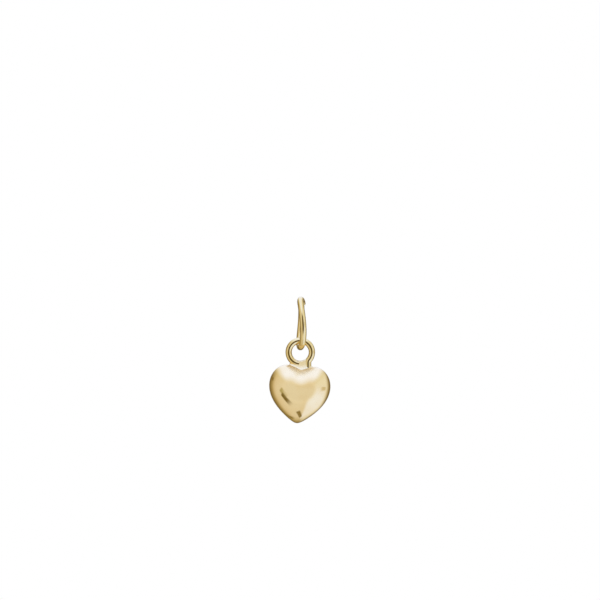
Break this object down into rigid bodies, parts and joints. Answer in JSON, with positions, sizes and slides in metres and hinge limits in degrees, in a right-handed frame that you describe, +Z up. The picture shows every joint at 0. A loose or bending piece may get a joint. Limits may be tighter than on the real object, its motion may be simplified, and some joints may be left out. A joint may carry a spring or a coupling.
{
  "type": "heart pendant",
  "caption": "Small puffed heart charm of polished yellow gold, with a soldered wire eye hanging in an open oval bail link for a fine chain.",
  "frame": {"origin": "inside top of the bail link, where the chain runs through", "axes": "+Z up along the hanging pendant, +X to the right as the picture shows it and along the chain, +Y from the heart's front to its back"},
  "size_m": [0.0079, 0.0044, 0.0164],
  "materials": {
    "heart_front_gold": "mirror-polished yellow gold with fine polishing scratches",
    "heart_back_gold": "mirror-polished yellow gold with fine polishing scratches",
    "eye_gold": "polished drawn yellow gold wire",
    "solder_gold": "smoothed gold solder, slightly paler and duller than the sheet",
    "bail_gold": "polished drawn yellow gold wire"
  },
  "bodies": {
    "bail": {"bail_link": "bail_gold"},
    "heart": {"heart_front_shell": "heart_front_gold", "heart_back_shell": "heart_back_gold", "eye_ring": "eye_gold", "solder_seat": "solder_gold"}
  },
  "joints": [
    {"name": "heart_swing", "type": "hinge", "parent": "bail", "child": "heart", "pos_m": [0, 0, -0.00488], "axis": [1, 0, 0], "range_deg": [-90, 90]}
  ]
}
